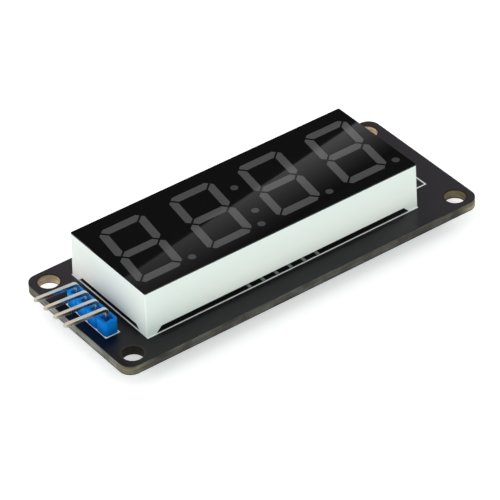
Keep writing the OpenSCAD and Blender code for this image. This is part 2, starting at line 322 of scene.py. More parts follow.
@dataclass(frozen=True)
class Finish:
    """A surface finish: its tint, its gloss and the fine grain that breaks them up."""

    name: str
    tint: Colour
    roughness: float
    mottle: float = 0.08
    grain: float = 900.0
    relief_depth: float = 2e-6
    stretch: Colour = (1.0, 1.0, 1.0)
    metallic: float = 0.0
    ior: float = 1.5
    specular: float = 0.5
    tinges: Sequence[Tinge] = ()

    def make(self) -> bpy.types.Material:
        """Builds the material.

        Returns:
            The finished material.
        """
        sheet = ShaderSheet(bpy.data.materials.new(self.name))
        sheet.set("Metallic", self.metallic)
        sheet.set("IOR", self.ior)
        sheet.set("Specular IOR Level", self.specular)
        self.paint(sheet)
        return sheet.owner

    def paint(self, sheet: ShaderSheet) -> None:
        """Fills the sheet with the tint, the gloss and the grain.

        Args:
            sheet: The sheet of the material.
        """
        broad = sheet.noise(self.grain * BROAD, detail=2.0, stretch=self.stretch)
        fine = sheet.noise(self.grain * FINE, stretch=self.stretch)
        sheet.set("Base Color", self.mottled(sheet, broad))
        low, high = self.roughness * (1.0 - GLOSS_SWING), min(1.0, self.roughness * (1.0 + GLOSS_SWING))
        sheet.set("Roughness", sheet.spread(broad, low, high))
        sheet.relief(fine, self.relief_depth)

    def mottled(self, sheet: ShaderSheet, factor: Socket) -> Socket:
        """Varies the tint a little around its mean and lays the tinges over it.

        Args:
            sheet: The sheet of the material.
            factor: The noise that varies it.

        Returns:
            The colour's socket.
        """
        dark = tuple(c * (1.0 - self.mottle) for c in self.tint)
        light = tuple(min(1.0, c * (1.0 + self.mottle)) for c in self.tint)
        colour = sheet.blend(factor, dark, light)
        for tinge in self.tinges:
            colour = tinge.over(sheet, colour)
        return colour


@dataclass(frozen=True)
class BoardFinish(Finish):
    """Dark solder mask on both faces of the board and bare glass-fibre laminate at its edges and holes."""

    mask_grain: float = 160.0
    peel_grain: float = 2600.0
    relief_share: float = 0.7
    flat_span: Point = (0.55, 0.8)
    above_span: Point = (0.0, 0.5)
    # Painted light on the board's top towards its far end and its back edge
    far_painted_light_tint: Colour = (0.0360, 0.0322, 0.0375)
    far_painted_light_spans: tuple[Point, Point] = ((12.0 * MM, 29.0 * MM), (4.5 * MM, 8.5 * MM))
    # Painted shadow beside the header block, on the board's top
    header_shadow_tint: Colour = (0.0028, 0.0034, 0.0075)
    header_y: float = -0.45 * MM
    header_shadow_spans: tuple[Point, Point] = ((-28.0 * MM, -31.0 * MM), (8.0 * MM, 6.0 * MM))
    bare_ring: Colour = (0.030, 0.022, 0.014)
    hole_at: Point = (30.15 * MM, 10.85 * MM)
    ring_span: Point = (2.0 * MM, 1.84 * MM)
    edge_roughness: float = 0.75
    long_edge: Colour = (0.066, 0.059, 0.052)
    end_edge: Colour = (0.160, 0.158, 0.138)
    end_span: Point = (0.45, 0.85)
    middle_span: Point = (0.0, 1.0 * MM)
    corner: Colour = (0.138, 0.123, 0.078)
    far_corner: Colour = (0.212, 0.192, 0.117)
    corner_spans: tuple[Point, Point] = ((28.2 * MM, 31.8 * MM), (8.8 * MM, 12.4 * MM))
    hole: Colour = (0.48, 0.365, 0.235)
    # Painted shade: the walls of the two front holes are darker, the near one almost black
    shaded_far_front_hole: Colour = (0.150, 0.115, 0.062)
    shaded_near_front_hole: Colour = (0.014, 0.011, 0.008)
    hole_span: Point = (2.05 * MM, 1.85 * MM)
    rim_spans: tuple[Point, Point] = ((0.04 * MM, 0.26 * MM), (1.58 * MM, 1.4 * MM))
    streak_grain: float = 1100.0
    streak_stretch: Colour = (0.22, 0.22, 4.5)
    streak_tones: Point = (0.6, 1.35)
    blotch_grain: float = 420.0
    blotch_tones: Point = (0.65, 1.3)

    def paint(self, sheet: ShaderSheet) -> None:
        """Fills the sheet: mask where the surface faces up or down, laminate where it faces out.

        Args:
            sheet: The sheet of the material.
        """
        place, facing = sheet.axes(), sheet.facing()
        flat = sheet.step(sheet.math("ABSOLUTE", facing["Z"]), *self.flat_span)
        outward = [sheet.math("ABSOLUTE", place[axis]) for axis in "XY"]
        from_hole = sheet.distance(outward, self.hole_at)
        above = sheet.step(facing["Z"], *self.above_span)
        # Painted light: the top of the board is painted lighter towards its far end and its back edge.
        far = sheet.math("MULTIPLY", sheet.both((place["X"], place["Y"]), self.far_painted_light_spans, "MAXIMUM"), above)
        mask = self.mottled(sheet, sheet.noise(self.mask_grain, detail=2.0))
        mask = sheet.blend(far, mask, self.far_painted_light_tint)
        # Painted shadow: the mask is painted darker beside the header block, where the block shades the
        # board.
        beside = sheet.math("ABSOLUTE", sheet.math("SUBTRACT", place["Y"], self.header_y))
        header = sheet.math("MULTIPLY", sheet.both((place["X"], beside), self.header_shadow_spans), above)
        mask = sheet.blend(header, mask, self.header_shadow_tint)
        mask = sheet.blend(sheet.step(from_hole, *self.ring_span), mask, self.bare_ring)
        edge, streaks = self.laminate(sheet, place, facing, (*outward, from_hole))
        sheet.set("Base Color", sheet.blend(flat, edge, mask))
        sheet.set("Roughness", sheet.spread(flat, self.edge_roughness, self.roughness))
        peel = sheet.noise(self.peel_grain, detail=2.0)
        sheet.relief(sheet.blend(flat, streaks, peel), self.relief_depth, self.relief_share)

    def laminate(
        self, sheet: ShaderSheet, place: Sockets, facing: Sockets, spans: Sequence[Socket]
    ) -> tuple[Socket, Socket]:
        """Paints the cut laminate: its layers, the cleaner corners and the walls of the holes, with painted
        shade in the two front holes.

        Args:
            sheet: The sheet of the material.
            place: The sockets of the place on the board.
            facing: The sockets of the surface's direction.
            spans: Distance from the middle along X and along Y, and from the nearest hole's centre.

        Returns:
            The laminate's colour and the streaks of its layers.
        """
        *outward, from_hole = spans
        streaks = sheet.noise(self.streak_grain, stretch=self.streak_stretch)
        blotch = sheet.noise(self.blotch_grain)
        at_end = sheet.step(sheet.math("ABSOLUTE", facing["X"]), *self.end_span)
        tone = sheet.blend(at_end, self.long_edge, self.end_edge)
        far = sheet.step(place["X"], *self.middle_span)
        corner = sheet.blend(far, self.corner, self.far_corner)
        tone = sheet.blend(sheet.both(outward, self.corner_spans), tone, corner)
        front = sheet.step(place["Y"], *reversed(self.middle_span))
        # Painted shade in the front holes, darkest in the near one
        wall = sheet.blend(front, self.hole, sheet.blend(far, self.shaded_near_front_hole, self.shaded_far_front_hole))
        tone = sheet.blend(sheet.step(from_hole, *self.hole_span), tone, wall)
        layers = sheet.spread(sheet.step(streaks, *CONTRAST), *self.streak_tones)
        worn = sheet.spread(sheet.step(blotch, *CONTRAST), *self.blotch_tones)
        tone = sheet.blend(1.0, tone, sheet.shade(sheet.math("MULTIPLY", layers, worn)), "MULTIPLY")
        rim = sheet.both((place["Z"], place["Z"]), self.rim_spans)
        return sheet.blend(rim, self.tint, tone), streaks


@dataclass(frozen=True)
class FilmFinish(Finish):
    """A mirror-like surface with a faint haze of fine wipe marks."""

    haze_grain: float = 140.0
    haze_stretch: Colour = (1.0, 2.4, 1.0)
    haze_gloss: Point = (0.7, 1.4)
    ripple_grain: float = 60.0
    ripple_share: float = 0.2

    def paint(self, sheet: ShaderSheet) -> None:
        """Fills the sheet with the tint and a gloss that the wipe marks break a little.

        Args:
            sheet: The sheet of the material.
        """
        haze = sheet.noise(self.haze_grain, stretch=self.haze_stretch)
        sheet.set("Base Color", self.mottled(sheet, haze))
        sheet.set("Roughness", sheet.spread(haze, *(self.roughness * share for share in self.haze_gloss)))
        sheet.relief(sheet.noise(self.ripple_grain, detail=1.0), self.relief_depth, self.ripple_share)


@dataclass(frozen=True)
class ResinFinish(FilmFinish):
    """Smoky resin, with painted shade that makes the small round windows of the points and the colon a shade
    darker.
    """

    dot_shade_tint: Colour = (0.062, 0.062, 0.060)
    dot_r: float = 0.8 * MM
    first_point: Point = (-15.87 * MM, -6.33 * MM)
    digits: int = 4
    pitch: float = 12.7 * MM
    colon_dots: tuple[Point, Point] = ((-1.94 * MM, -3.1 * MM), (-0.96 * MM, 3.4 * MM))

    def mottled(self, sheet: ShaderSheet, factor: Socket) -> Socket:
        """Varies the tint a little around its mean and paints shade into each point and dot.

        Args:
            sheet: The sheet of the material.
            factor: The noise that varies it.

        Returns:
            The colour's socket.
        """
        place = sheet.axes()
        x, y = self.first_point
        points = [(x + i * self.pitch, y) for i in range(self.digits)]
        dots: Socket | float = 0.0
        for at in (*points, *self.colon_dots):
            near = sheet.math("LESS_THAN", sheet.distance(place, at), self.dot_r)
            dots = sheet.math("MAXIMUM", dots, near)
        return sheet.blend(dots, super().mottled(sheet, factor), self.dot_shade_tint)


@dataclass(frozen=True)
class PinFinish(Finish):
    """Plated metal: rolled faces, dull sheared sides whose darker colour is painted shade, painted shade low
    on the upright, and worn tips.
    """

    line_grain: float = 5200.0
    line_stretch: Colour = (0.06, 1.0, 0.35)
    line_gloss: Point = (0.8, 1.25)
    worn: Colour = (0.62, 0.55, 0.46)
    tarnish_grain: float = 520.0
    tarnish_span: Point = (0.45, 0.8)
    tarnish_share: float = 0.6
    tip_span: Point = (-37.22 * MM, -37.46 * MM)
    sheared: Colour = (0.50, 0.48, 0.45)
    sheared_roughness: float = 0.22
    side_span: Point = (0.7, 0.95)
    # Painted shade low on the upright, near the block
    shade_low_span: Point = (5.7 * MM, 4.9 * MM)
    shade_low_share: float = 0.9

    def paint(self, sheet: ShaderSheet) -> None:
        """Fills the sheet with draw lines, soft tarnish, the sheared sides with their painted shade, the
        painted shade low on the upright, and the worn tips.

        Args:
            sheet: The sheet of the material.
        """
        lines = sheet.noise(self.line_grain, stretch=self.line_stretch)
        tarnish = sheet.step(sheet.noise(self.tarnish_grain), *self.tarnish_span)
        place = sheet.axes()
        tip = sheet.step(place["X"], *self.tip_span)
        wear = sheet.math("MAXIMUM", tip, sheet.math("MULTIPLY", tarnish, self.tarnish_share))
        # The ±Y sides get a glossier, fully metallic finish, and their darker colour is painted shade.
        side = sheet.step(sheet.math("ABSOLUTE", sheet.facing()["Y"]), *self.side_span)
        # Painted shade: low on the upright, near the block, the pin is given the same darker look.
        low = sheet.math("MULTIPLY", sheet.step(place["Z"], *self.shade_low_span), self.shade_low_share)
        side = sheet.math("MAXIMUM", side, low)
        rolled = sheet.blend(wear, self.mottled(sheet, lines), self.worn)
        sheet.set("Base Color", sheet.blend(side, rolled, self.sheared))
        sheet.set("Metallic", sheet.spread(side, self.metallic, 1.0))
        gloss = sheet.spread(side, self.roughness, self.sheared_roughness)
        sheet.set("Roughness", sheet.math("MULTIPLY", sheet.spread(lines, *self.line_gloss), gloss))
        sheet.relief(lines, self.relief_depth)


@dataclass(frozen=True)
class FloorFinish(Finish):
    """A pale sheet lit softly from below as well, as on a light table."""

    glow: float = 0.48

    def paint(self, sheet: ShaderSheet) -> None:
        """Fills the sheet as for any finish and adds the glow."""
        super().paint(sheet)
        sheet.glow(WHITE, self.glow)


@dataclass(frozen=True)
class Finishes:
    """Every finish of the module."""

    board: Finish = BoardFinish(
        "dark_solder_mask", (0.0110, 0.0102, 0.0116), 0.30, 0.12, relief_depth=2e-6, specular=0.20
    )
    # Painted bounce light: the walls are painted a shade lighter low down, away from the header's front
    # corner
    case: Finish = Finish(
        "white_case_plastic", (0.80, 0.84, 0.795), 0.5, 0.012, 1500.0, 1.2e-6, specular=0.35,
        tinges=(Tinge((0.93, 0.925, 0.875), {"Z": (8.6 * MM, 2.6 * MM), "XY": (-35.5 * MM, -18.0 * MM)}),),
    )
    film: Finish = FilmFinish("glossy_black_film", (0.0052, 0.0052, 0.0053), 0.012, 0.06, relief_depth=1e-6)
    resin: Finish = ResinFinish(
        "smoky_resin", (0.084, 0.084, 0.082), 0.03, 0.05, relief_depth=1e-6, ior=1.6, specular=0.7
    )
    carrier: Finish = Finish("bare_carrier_laminate", (0.50, 0.52, 0.36), 0.6, 0.10, 1800.0, 4e-6)
    light_chip: Finish = Finish("cut_crystal", (0.70, 0.56, 0.22), 0.3, 0.15, 6000.0, 1e-6)
    solder: Finish = Finish("satin_solder", (0.66, 0.67, 0.68), 0.28, 0.07, 2200.0, 6e-6, metallic=0.85)
    # Painted light and shade: a shade lighter towards the block's far end and darker at its foot
    blue: Finish = Finish(
        "blue_header_plastic", (0.002, 0.175, 0.62), 0.34, 0.05, 1500.0, 2e-6, specular=0.09,
        tinges=(
            Tinge((0.004, 0.26, 0.78), {"Y": (-4.5 * MM, 3.5 * MM)}),
            Tinge((0.002, 0.10, 0.38), {"Z": (3.6 * MM, 1.6 * MM)}),
        ),
    )
    chip: Finish = Finish("moulded_chip_plastic", (0.020, 0.020, 0.022), 0.55, 0.12, 2600.0, 9e-6)
    tin: Finish = Finish("matt_tin", (0.64, 0.64, 0.635), 0.38, 0.08, 2600.0, 2e-6, (1.0, 1.0, 0.3), 0.75)
    pad: Finish = Finish("dull_tinned_pad", (0.40, 0.40, 0.39), 0.5, 0.08, 2600.0, 2e-6, metallic=0.1)
    # Painted reflection of the blue block: cooler towards the bend
    pin: Finish = PinFinish(
        "plated_header_pin", (1.0, 0.81, 0.68), 0.40, 0.06, relief_depth=1.5e-6, metallic=0.35,
        tinges=(Tinge((0.74, 0.79, 0.79), {"X": (-35.5 * MM, -34.0 * MM)}),),
    )
    resistor: Finish = Finish("glazed_resistor", (0.030, 0.030, 0.034), 0.3, 0.10, 4000.0, 2e-6)
    ceramic: Finish = Finish("fired_ceramic", (0.40, 0.27, 0.15), 0.5, 0.10, 4500.0, 3e-6)
    ink: Finish = Finish("white_print", (0.84, 0.85, 0.84), 0.6, 0.10, 3000.0, 3e-6)
    copper: Finish = Finish("masked_copper", (0.021, 0.019, 0.020), 0.30, 0.12, 1200.0, 2e-6, specular=0.4)
    floor: Finish = FloorFinish("pale_floor", (0.86, 0.86, 0.86), 0.9, 0.004, 8.0, 1e-6)


class Workshop:
    """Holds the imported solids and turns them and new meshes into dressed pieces."""

    def __init__(self, frame: dict[str, Any]) -> None:
        self.nodes: dict[str, bpy.types.Object] = frame["nodes"]
        self.materials: dict[str, bpy.types.Material] = {}

    def named(self, start: str = "", end: str = "") -> list[str]:
        """Gives the names of the solids that start and end in the given way, in order."""
        return [name for name in sorted(self.nodes) if name.startswith(start) and name.endswith(end)]

    def material(self, finish: Finish) -> bpy.types.Material:
        """Gives the material of a finish, made on its first use.

        Args:
            finish: The finish.

        Returns:
            Its material.
        """
        if finish.name not in self.materials:
            self.materials[finish.name] = finish.make()
        return self.materials[finish.name]

    def dress(self, node: str, finish: Finish) -> None:
        """Gives a solid of the frame its finish.

        Args:
            node: The node's name.
            finish: Its finish.
        """
        materials = self.nodes[node].data.materials
        materials.clear()
        materials.append(self.material(finish))
        LOG.info("dressed %s with %s", node, finish.name)

    @staticmethod
    def keep(name: str, mesh: bmesh.types.BMesh) -> bpy.types.Mesh:
        """Turns a mesh under work into a finished one.

        Args:
            name: The finished mesh's name.
            mesh: The mesh under work, which is freed.

        Returns:
            The finished mesh.
        """
        data = bpy.data.meshes.new(name)
        mesh.to_mesh(data)
        mesh.free()
        return data

    def add(
        self, name: str, mesh: bmesh.types.BMesh, finish: Finish, slot: Slot, smooth: bool = False
    ) -> bpy.types.Object:
        """Makes a piece of the module from a mesh and lets it ride on the module.

        Args:
            name: The piece's name.
            mesh: Its mesh, which is freed.
            finish: Its finish.
            slot: The record's slot that the finish belongs to; not used.
            smooth: Whether its faces shade smoothly.

        Returns:
            The new piece.
        """
        bmesh.ops.recalc_face_normals(mesh, faces=mesh.faces[:])
        data = self.keep(name, mesh)
        data.polygons.foreach_set("use_smooth", [smooth] * len(data.polygons))
        data.materials.append(self.material(finish))
        piece = bpy.data.objects.new(name, data)
        bpy.context.scene.collection.objects.link(piece)
        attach(piece, "root")
        LOG.info("built %s with %s", name, finish.name)
        return piece

    def soften(
        self, node: str, finish: Finish, slot: Slot, edge: float,
        where: Callable[[Vector], bool] | None = None,
    ) -> None:
        """Replaces a solid of the frame by a copy whose sharp edges are rounded.

        Args:
            node: The node's name.
            finish: Its finish.
            slot: The record's slot that the finish belongs to.
            edge: The width of the rounding, which is less where edges crowd unless their places are picked.
            where: Picks the places where edges are rounded, or None for all of them.
        """
        source = self.nodes[node].data
        mesh = bmesh.new()
        corners = [mesh.verts.new(v.co) for v in source.vertices]
        for face in source.polygons:
            mesh.faces.new([corners[i] for i in face.vertices])
        bmesh.ops.remove_doubles(mesh, verts=mesh.verts[:], dist=WELD)
        bmesh.ops.recalc_face_normals(mesh, faces=mesh.faces[:])
        bmesh.ops.dissolve_limit(mesh, angle_limit=LEVEL, verts=mesh.verts[:], edges=mesh.edges[:])
        sharp = [e for e in mesh.edges if e.is_manifold and e.calc_face_angle() > SHARP]
        if where:
            sharp = [e for e in sharp if all(where(v.co) for v in e.verts)]
        bmesh.ops.bevel(
            mesh, geom=sharp, offset=edge, offset_type="OFFSET", segments=FACETS, profile=0.5,
            affect="EDGES", clamp_overlap=where is None, loop_slide=True,
        )
        bmesh.ops.dissolve_degenerate(mesh, dist=WELD, edges=mesh.edges[:])
        piece = self.add(node + "_dressed", mesh, finish, slot, True)
        self.shade(piece.data)
        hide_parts(node)

    @staticmethod
    def shade(data: bpy.types.Mesh) -> None:
        """Lets the broad flat areas of a mesh shade flat and only its rounded edges and walls shade softly.

        Args:
            data: The mesh, whose corner normals are set.
        """
        mesh = bmesh.new()
        mesh.from_mesh(data)
        weight: dict[int, float] = {}
        for first in mesh.faces:
            if first.index in weight:
                continue
            group, queue = {first}, [first]
            while queue:
                near = {f for edge in queue.pop().edges for f in edge.link_faces}
                fresh = [f for f in near - group if f.normal.dot(first.normal) > FLAT]
                group.update(fresh)
                queue.extend(fresh)
            area = sum(f.calc_area() for f in group) / MM**2
            weight.update({f.index: area**2 for f in group})
        normals = []
        for face in mesh.faces:
            for corner in face.loops:
                around = [f for f in corner.vert.link_faces if f.normal.dot(face.normal) > SOFT]
                normals.append(sum((f.normal * weight[f.index] for f in around), Vector()).normalized())
        mesh.free()
        data.normals_split_custom_set(normals)


class Layers:
    """Thin printed and copper shapes on the board, gathered in one mesh."""

    def __init__(self, side: BoardSide, z: float, height: float) -> None:
        """Starts an empty layer.

        Args:
            side: The side of the board that the layer is on.
            z: The height of the board's surface there.
            height: How far the layer stands out of it.
        """
        self.mesh = bmesh.new()
        self.foot = z - side.value * SINK
        self.top = z + side.value * height

    def strip(self, inner: Sequence[Point], outer: Sequence[Point], closed: bool = True) -> None:
        """Adds a raised strip between two lines with the same number of points.

        Args:
            inner: The points of one side.
            outer: The points of the other side.
            closed: Whether the last points join the first ones.
        """
        rows = [
            [self.mesh.verts.new((x, y, z)) for x, y in line]
            for line, z in ((inner, self.foot), (inner, self.top), (outer, self.top), (outer, self.foot))
        ]
        count = len(inner)
        for i in range(count if closed else count - 1):
            j = (i + 1) % count
            for a, b in zip(rows, rows[1:] + rows[:1]):
                self.mesh.faces.new((a[i], a[j], b[j], b[i]))
        if not closed:
            for i in (0, count - 1):
                self.mesh.faces.new([row[i] for row in rows])

    def frame(self, low: Point, high: Point, width: float) -> None:
        """Adds a rectangular outline, with its line centred on the rectangle.

        Args:
            low: The rectangle's lowest corner.
            high: Its highest corner.
            width: The line's width.
        """
        corners = ((low, low), (high, low), (high, high), (low, high))
        signs = ((-1, -1), (1, -1), (1, 1), (-1, 1))
        inner, outer = (
            [(a[0] + grow * sx, b[1] + grow * sy) for (a, b), (sx, sy) in zip(corners, signs)]
            for grow in (-width / 2, width / 2)
        )
        self.strip(inner, outer)

    def ring(self, at: Point, pad_d: float, hole_r: float, points: int = 40) -> None:
        """Adds a round pad with a round hole.

        Args:
            at: The pad's middle.
            pad_d: Its diameter.
            hole_r: The hole's radius.
            points: The points around it.
        """
        turns = [2 * math.pi * (i + 0.5) / points for i in range(points)]
        inner, outer = (
            [(at[0] + r * math.cos(a), at[1] + r * math.sin(a)) for a in turns] for r in (hole_r, pad_d / 2)
        )
        self.strip(inner, outer)

    def trace(self, path: Sequence[Point], width: float) -> None:
        """Adds a copper line along a path, mitred at its bends.

        Args:
            path: The points that it runs through.
            width: Its width.
        """
        points = [Vector(p) for p in path]
        left, right = [], []
        for i, p in enumerate(points):
            before = (p - points[i - 1]).normalized() if i else None
            after = (points[i + 1] - p).normalized() if i + 1 < len(points) else None
            way = ((before or after) + (after or before)).normalized()
            side = Vector((-way.y, way.x))
            first = before or after
            half = width / 2 / max(MITRE, side.dot(Vector((-first.y, first.x))))
            left.append(tuple(p + side * half))
            right.append(tuple(p - side * half))
        self.strip(left, right, closed=False)

    def patch(self, low: Point, high: Point) -> None:
        """Adds a plain rectangular pad."""
        near, far = ([(x, y) for x in (low[0], high[0])] for y in (low[1], high[1]))
        self.strip(near, far, closed=False)


@dataclass
class Assembly:
    """A group of pieces that is built in one go."""

    shop: Workshop
    finishes: Finishes

    def build(self) -> None:
        """Builds the group's pieces."""
        raise NotImplementedError


@dataclass
class CircuitBoard(Assembly):
    """The board with its printed outlines, its pads and its copper lines."""

    edge: float = 0.09 * MM
    ink_w: float = 0.22 * MM
    ink_h: float = 0.02 * MM
    copper_h: float = 0.04 * MM
    print_inset: Point = (0.12 * MM, -0.06 * MM)
    print_gap: float = 0.28 * MM
    outline_half: Point = (1.15 * MM, 5.1 * MM)
    pin_hole_r: float = 0.45 * MM
    top_pad_d: float = 1.5 * MM
    tongue_w: float = 0.52 * MM
    tongue_ends: Point = (0.68 * MM, 1.8 * MM)
    header_pin_w: float = 0.64 * MM
    header_hole_r: float = 0.5 * MM
    header_pad_d: float = 1.7 * MM
    under_pad_d: float = 1.9 * MM
    under_hole_r: float = 0.89 * MM
    lead_count: int = 10
    lead_w: float = 0.4 * MM
    lead_pad_w: float = 0.6 * MM
    lead_pad_ends: Point = (-0.95 * MM, 0.55 * MM)
    terminal_pad: Point = (0.35 * MM, 0.4 * MM)
    terminal_side: float = 0.08 * MM
    trace_w: float = 0.3 * MM
    trace_h: float = 0.03 * MM
    lane: float = 0.62 * MM
    first_lane: float = 1.3 * MM
    turn: float = 0.4 * MM
    supply_x: float = 1.95 * MM
    stub_l: float = 1.3 * MM
    detour: float = 1.25 * MM
    via_d: float = 0.7 * MM
    via_hole_r: float = 0.16 * MM
    via_points: int = 24
    back_leads: Sequence[int] = (0, 1, 2, 3, 6, 7)
    front_leads: Sequence[int] = (0, 1, 2, 3, 4, 5)
    last_leads: Sequence[int] = (9, 8)
    capacitor_leads: Sequence[int] = (4, 5)
    ground_leads: Sequence[int] = (6, 7)
    supply_lane: int = 7
    supply_pins: int = 2
    signal_parts: Sequence[int] = (2, 1)
    signal_ways: Sequence[int] = (-1, 1)
    under: float = field(init=False)
    top: float = field(init=False)
    copper: Layers = field(init=False)
    vias: Layers = field(init=False)
    leads: list[float] = field(init=False)
    lead_ends: Point = field(init=False)

    def build(self) -> None:
        """Builds the board, then what is printed and plated on it."""
        low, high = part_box("circuit_board")
        self.under, self.top = low.z, high.z
        self.copper = Layers(BoardSide.UNDER, self.under, self.trace_h)
        self.vias = Layers(BoardSide.UNDER, self.under, self.copper_h)
        self.find_leads()
        self.shop.soften("circuit_board", self.finishes.board, Slot.BOARD, self.edge)
        self.print_outlines()
        self.plate_pads()
        self.lay_copper()

    @staticmethod
    def middle(node: str) -> Point:
        """Gives the middle of a node as seen from above."""
        low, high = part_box(node)
        return ((low.x + high.x) / 2, (low.y + high.y) / 2)

    def pin_points(self) -> list[Point]:
        """Gives the middles of the display's pins."""
        return [self.middle(name) for name in self.shop.named("display_pin_")]

    def header_points(self) -> list[Point]:
        """Gives the places of the header's pins, at their uprights."""
        boxes = [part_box(name) for name in self.shop.named("header_pin_")]
        return [(high.x - self.header_pin_w / 2, (low.y + high.y) / 2) for low, high in boxes]

    def print_outlines(self) -> None:
        """Prints the outlines of the display, of the header and of the unused place at the far end."""
        low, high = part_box("display_case")
        (end, side), gap = self.print_inset, self.print_gap
        display = Layers(BoardSide.TOP, self.top, self.ink_h)
        display.frame((low.x + end, low.y + side), (high.x - end, high.y - side), self.ink_w)
        self.shop.add("display_outline_print", display.mesh, self.finishes.ink, Slot.BOARD)
        centre = (low.x + high.x) / 2
        block = self.middle("header_block")
        half = self.outline_half
        for name, x in (("header_outline_print", block[0]), ("far_outline_print", 2 * centre - block[0])):
            ink = Layers(BoardSide.TOP, self.top, self.ink_h)
            ink.frame((x - half[0], block[1] - half[1]), (x + half[0], block[1] + half[1]), self.ink_w)
            self.shop.add(name, ink.mesh, self.finishes.ink, Slot.BOARD)
        chip_low, chip_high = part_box("driver_chip")
        under = Layers(BoardSide.UNDER, self.under, self.trace_h + self.ink_h)
        under.frame((chip_low.x - gap, chip_low.y + gap), (chip_high.x + gap, chip_high.y - gap), self.ink_w)
        for node in self.shop.named(end="_terminals"):
            a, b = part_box(node)
            under.frame((a.x - 2 * gap, a.y - gap), (b.x + 2 * gap, b.y + gap), self.ink_w)
        self.shop.add("underside_print", under.mesh, self.finishes.ink, Slot.BOARD)

    def plate_pads(self) -> None:
        """Plates a pad around each hole on both sides and under each lead and terminal."""
        top = Layers(BoardSide.TOP, self.top, self.copper_h)
        under = Layers(BoardSide.UNDER, self.under, self.copper_h)
        half = self.tongue_w / 2
        for x, y in self.pin_points():
            top.ring((x, y), self.top_pad_d, self.pin_hole_r)
            near, far = (y + math.copysign(end, y) for end in self.tongue_ends)
            top.patch((x - half, near), (x + half, far))
        for at in self.header_points():
            top.ring(at, self.header_pad_d, self.header_hole_r)
        for at in self.pin_points() + self.header_points():
            under.ring(at, self.under_pad_d, self.under_hole_r)
        half = self.lead_pad_w / 2
        for x in self.leads:
            for y, way in zip(self.lead_ends, (-1, 1)):
                near, far = (y + way * end for end in self.lead_pad_ends)
                under.patch((x - half, near), (x + half, far))
        (out, back), side = self.terminal_pad, self.terminal_side
        for node in self.shop.named(end="_terminals"):
            a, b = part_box(node)
            for near, far in ((a.x - out, a.x + back), (b.x - back, b.x + out)):
                under.patch((near, a.y - side), (far, b.y + side))
        self.shop.add("top_pads", top.mesh, self.finishes.pad, Slot.TERMINAL)
        self.shop.add("underside_pads", under.mesh, self.finishes.tin, Slot.TERMINAL)

    def find_leads(self) -> None:
        """Finds the middles of the chip's leads along X and where its two rows end along Y."""
        low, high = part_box("driver_leads")
        pitch = (high.x - low.x - self.lead_w) / (self.lead_count - 1)
        self.leads = [low.x + self.lead_w / 2 + pitch * i for i in range(self.lead_count)]
        self.lead_ends = (low.y, high.y)

    def lay_copper(self) -> None:
        """Lays the copper lines and the small vias on the underside, in lanes that don't cross."""
        self.run_display_lines()
        self.run_supply_lines()
        self.run_signal_lines()
        self.shop.add("underside_copper", self.copper.mesh, self.finishes.copper, Slot.BOARD)
        self.shop.add("underside_vias", self.vias.mesh, self.finishes.tin, Slot.TERMINAL)

    def lane_y(self, pin_y: float, index: int) -> float:
        """Gives the place along Y of a copper lane outside a row of pins, counted from 0 next to them."""
        return pin_y + math.copysign(self.first_lane + index * self.lane, pin_y)

    def line(self, *path: Point) -> None:
        """Lays a copper line through the given points."""
        self.copper.trace(path, self.trace_w)

    def stub(self, start: Point, end: Point) -> None:
        """Runs a short line from a place in a pad to the middle of a small via."""
        self.line(start, end)
        self.vias.ring(end, self.via_d, self.via_hole_r, self.via_points)

    def run_display_lines(self) -> None:
        """Runs a line from each display pin to a lead of the chip."""
        turn, (front, back) = self.turn, self.lead_ends
        for way, row_y, used in ((1, back, self.back_leads), (-1, front, self.front_leads)):
            row = sorted((p for p in self.pin_points() if p[1] * way > 0), reverse=True)
            for i, (pin, x) in enumerate(zip(row, (self.leads[n] for n in used))):
                y = self.lane_y(pin[1], i)
                bend = y - way * turn
                start = (pin, (pin[0], bend), (pin[0] + turn, y))
                self.line(*start, (x - turn, y), (x, bend), (x, row_y + way * turn))

    def run_supply_lines(self) -> None:
        """Runs the two supply lines from the header to the chip and joins both large capacitors to them."""
        leads, turn, (front, back) = self.leads, self.turn, self.lead_ends
        row_y = min(y for _, y in self.pin_points())
        for i, (at, n) in enumerate(zip(sorted(self.header_points()), self.last_leads)):
            lead = leads[n]
            x, y = at[0] + self.supply_x + i * self.lane, self.lane_y(row_y, self.supply_lane - i)
            start = (at, (x - turn, at[1]), (x, at[1] - turn), (x, y + turn), (x + turn, y))
            self.line(*start, (lead - turn, y), (lead, y + turn), (lead, front - turn))
        first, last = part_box("storage_capacitor_terminals")
        y = (first.y + last.y) / 2
        self.line((x + self.trace_w / 2, y), (first.x, y))
        self.stub((last.x, y), (last.x + self.stub_l, y))
        first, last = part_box("supply_capacitor_terminals")
        for n in self.capacitor_leads:
            self.line((leads[n], back + turn), (leads[n], first.y))
        for n in self.ground_leads:
            self.stub((leads[n], front - turn), (leads[n], front - turn - self.stub_l))

    def run_signal_lines(self) -> None:
        """Runs the two signal lines from the header through the small parts and under the chip."""
        turn = self.turn
        inner_y = self.lead_ends[1] - 2 * turn
        pins = sorted(self.header_points())[self.supply_pins:]
        for at, number, way, n in zip(pins, self.signal_parts, self.signal_ways, self.last_leads):
            first, first_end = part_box(f"pull_up_resistor_{number}_terminals")
            second, second_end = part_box(f"filter_capacitor_{number}_terminals")
            lead, y = self.leads[n], (first.y + first_end.y) / 2
            self.line(at, (first.x - self.stub_l, at[1]), (first.x - turn, y), (first.x, y))
            self.line((first_end.x, y), (second.x, y))
            around, lane = y + way * self.detour, y - way * turn
            back = second_end.x + 2 * turn
            loop = ((second.x, y), (second.x, around - way * turn), (second.x + turn, around), (back, around))
            home = ((back + abs(around - lane), lane), (lead - turn, lane), (lead, lane + turn))
            self.line(*loop, *home, (lead, inner_y))
            self.stub((second_end.x, y), (second_end.x + self.stub_l, y))


